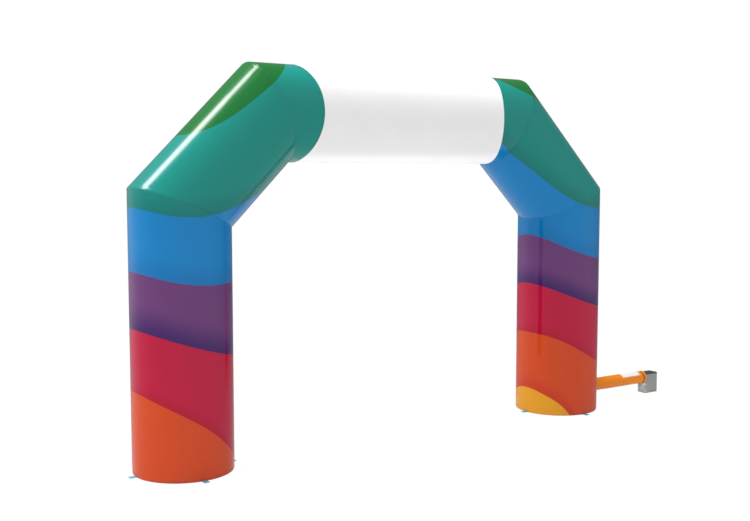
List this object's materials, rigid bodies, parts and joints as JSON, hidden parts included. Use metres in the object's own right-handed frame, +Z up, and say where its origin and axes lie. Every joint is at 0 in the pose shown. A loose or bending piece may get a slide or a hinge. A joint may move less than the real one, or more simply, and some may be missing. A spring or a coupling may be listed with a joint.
{
  "type": "inflatable arch",
  "caption": "Inflatable event arch of printed fabric tubes with mitred shoulders, webbing ground tabs, and a blower on an orange air sleeve.",
  "frame": {"origin": "on the ground, in the middle of the box round the arch, its tabs and its blower", "axes": "+X across the arch towards the blower, +Y from the front to the back through the passage, +Z up"},
  "size_m": [7.342, 1.124, 4.034],
  "materials": {
    "printed_skin": "glossy coated cloth, printed in wavy bands of orange, crimson, purple, blue, teal and green, white along the beam",
    "floor_cloth": "dull coated cloth",
    "tab_webbing": "woven webbing",
    "sleeve_cloth": "satin coated cloth",
    "tie_webbing": "woven webbing",
    "patch_cloth": "plain white coated cloth",
    "housing": "grained grey",
    "black_plastic": "dull black"
  },
  "bodies": {
    "root": {"leg_left": "printed_skin", "leg_right": "printed_skin", "shoulder_left": "printed_skin", "shoulder_right": "printed_skin", "beam": "printed_skin", "floor_left": "floor_cloth", "floor_right": "floor_cloth", "tab_left_outer": "tab_webbing", "tab_left_front": "tab_webbing", "tab_left_inner": "tab_webbing", "tab_left_back": "tab_webbing", "tab_right_outer": "tab_webbing", "tab_right_front": "tab_webbing", "tab_right_inner": "tab_webbing", "tab_right_back": "tab_webbing", "sleeve": "sleeve_cloth", "sleeve_tie": "tie_webbing", "sleeve_patch": "patch_cloth", "blower_housing": "housing", "blower_lid": "black_plastic", "blower_nozzle": "black_plastic", "power_inlet": "black_plastic"}
  },
  "joints": []
}
